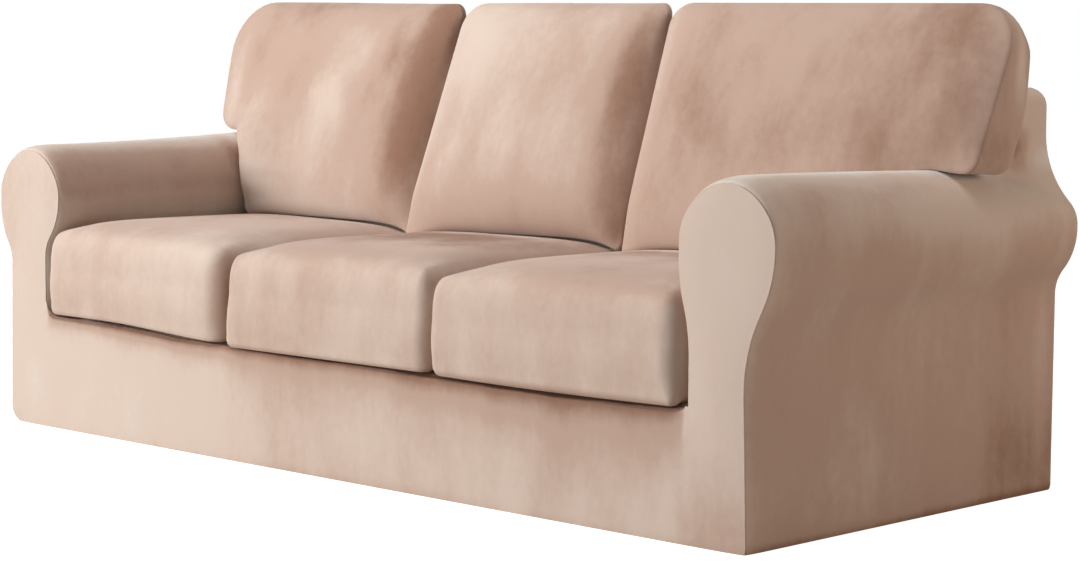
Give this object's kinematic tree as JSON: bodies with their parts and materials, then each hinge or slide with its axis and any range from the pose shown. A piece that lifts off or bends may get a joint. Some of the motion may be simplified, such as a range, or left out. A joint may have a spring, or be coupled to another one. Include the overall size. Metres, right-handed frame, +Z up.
{
  "type": "sofa slipcover",
  "caption": "Stretch velvet slipcover set for a sofa with rolled arms: a fitted base cover with separate seat and back cushion covers, in the shape it takes on the sofa",
  "frame": {"origin": "on the floor, under the middle of the cover", "axes": "+X along the seat to the right of a person who faces the sofa, -Y the front, +Z up"},
  "size_m": [2.18, 0.9, 0.93],
  "materials": {
    "velvet": "short-pile stretch velvet, dusty pink-beige",
    "velvet_shaded": "the same velvet with its pile brushed away from the light"
  },
  "bodies": {
    "root": {"front_panel": "velvet", "arm_left": "velvet_shaded", "arm_right": "velvet_shaded", "deck": "velvet_shaded", "inside_back": "velvet_shaded", "outside_back": "velvet", "seat_top_left": "velvet", "seat_band_left": "velvet", "seat_top_middle": "velvet", "seat_band_middle": "velvet", "seat_top_right": "velvet", "seat_band_right": "velvet", "back_front_left": "velvet", "back_band_left": "velvet", "back_front_middle": "velvet", "back_band_middle": "velvet", "back_front_right": "velvet", "back_band_right": "velvet"}
  },
  "joints": []
}
